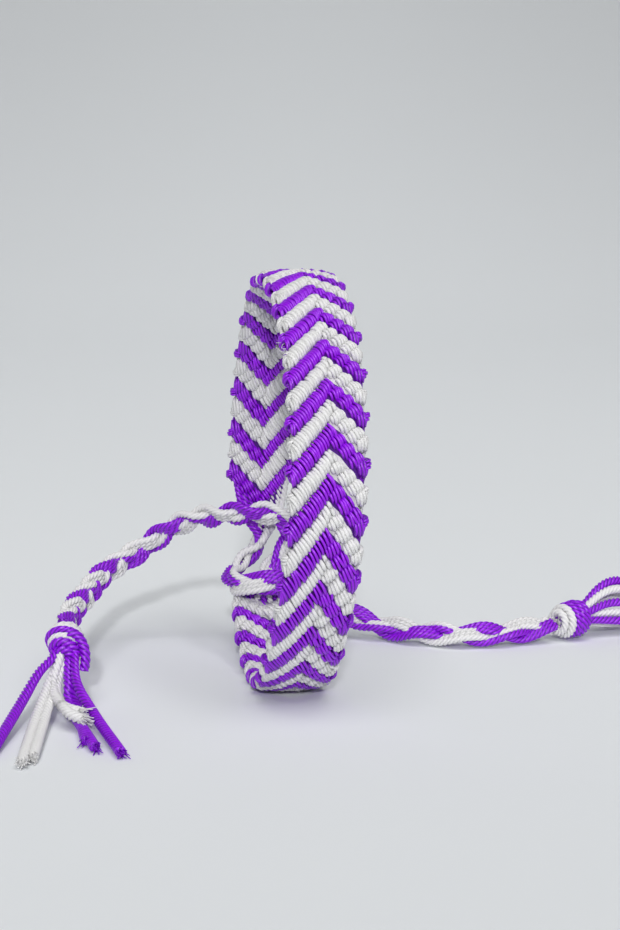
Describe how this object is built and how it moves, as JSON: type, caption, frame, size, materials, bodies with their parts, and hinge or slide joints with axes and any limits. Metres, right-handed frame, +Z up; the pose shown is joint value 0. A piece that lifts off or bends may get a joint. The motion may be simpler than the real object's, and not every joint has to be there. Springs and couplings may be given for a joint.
{
  "type": "chevron friendship bracelet",
  "caption": "Knotted chevron bracelet in purple and white thread, standing as an open loop, its braided ties half knotted and ending in knots and tassels.",
  "frame": {"origin": "on the floor, in the middle of the face on which the loop rests", "axes": "+Z up; +Y from the near side of the loop to the far side, where the two braids are tied; +X towards the end of the right braid"},
  "size_m": [0.1038, 0.0653, 0.0517],
  "materials": {
    "purple_thread": "satin",
    "white_thread": "satin",
    "mixed_thread": "satin"
  },
  "bodies": {
    "root": {"band": "purple_thread", "left_tail_strand_1": "mixed_thread", "left_tail_strand_2": "purple_thread", "left_tail_strand_3": "white_thread", "right_tail_strand_1": "mixed_thread", "right_tail_strand_2": "purple_thread", "right_tail_strand_3": "white_thread", "left_end_knot": "purple_thread", "right_end_knot": "purple_thread", "left_tassel": "purple_thread", "right_tassel": "purple_thread"}
  },
  "joints": []
}
